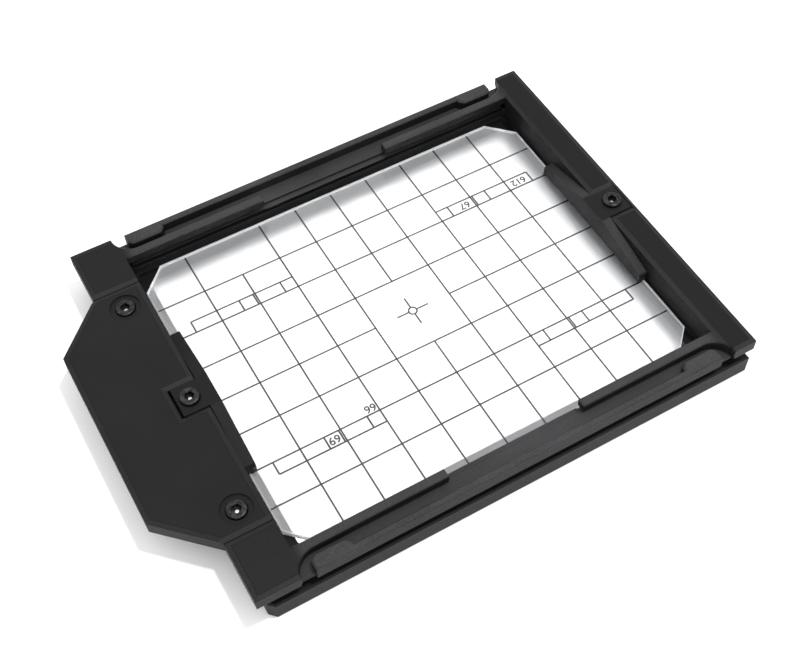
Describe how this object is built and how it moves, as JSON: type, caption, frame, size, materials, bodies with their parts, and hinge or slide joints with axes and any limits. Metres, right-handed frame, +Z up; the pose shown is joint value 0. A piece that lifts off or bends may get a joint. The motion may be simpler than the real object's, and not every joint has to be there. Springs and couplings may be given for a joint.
{
  "type": "large format film carrier with focusing glass",
  "caption": "Flat rectangular black carrier holding a ruled translucent glass over a window, with spring glass clips, a tapered grip plate and sliding lock bars along its long sides.",
  "frame": {"origin": "middle of the window, on the flat seating face at the bottom", "axes": "+X along the long side, away from the grip plate; +Y along the short side towards the rear lock bar; +Z up, from the seating face to the top"},
  "size_m": [0.1637, 0.1206, 0.015],
  "materials": {
    "printed_black": "matte black printed plastic with fine layer lines",
    "ground_glass": "ground on its lower face, with fine printed black lines",
    "black_steel": "black oxide",
    "brass": "machined and knurled"
  },
  "bodies": {
    "carrier": {"base_frame": "printed_black", "right_top_frame": "printed_black", "rear_left_corner_block": "printed_black", "front_left_corner_block": "printed_black", "grip_plate": "printed_black", "ground_glass": "ground_glass", "left_glass_clip": "printed_black", "right_glass_clip": "printed_black", "rear_grip_screw": "black_steel", "front_grip_screw": "black_steel", "left_clip_screw": "black_steel", "right_clip_screw": "black_steel", "rear_grip_insert": "brass", "front_grip_insert": "brass", "left_clip_insert": "brass", "right_clip_insert": "brass", "rear_left_block_screws": "black_steel", "front_left_block_screws": "black_steel", "right_frame_screws": "black_steel", "rear_left_block_inserts": "brass", "front_left_block_inserts": "brass", "right_frame_inserts": "brass"},
    "rear_bar": {"rear_lock_bar": "printed_black"},
    "front_bar": {"front_lock_bar": "printed_black"}
  },
  "joints": [
    {"name": "rear_bar_slide", "type": "slide", "parent": "carrier", "child": "rear_bar", "axis": [0, -1, 0], "range_m": [0, 0.0016]},
    {"name": "front_bar_slide", "type": "slide", "parent": "carrier", "child": "front_bar", "axis": [0, 1, 0], "range_m": [0, 0.0016]}
  ]
}
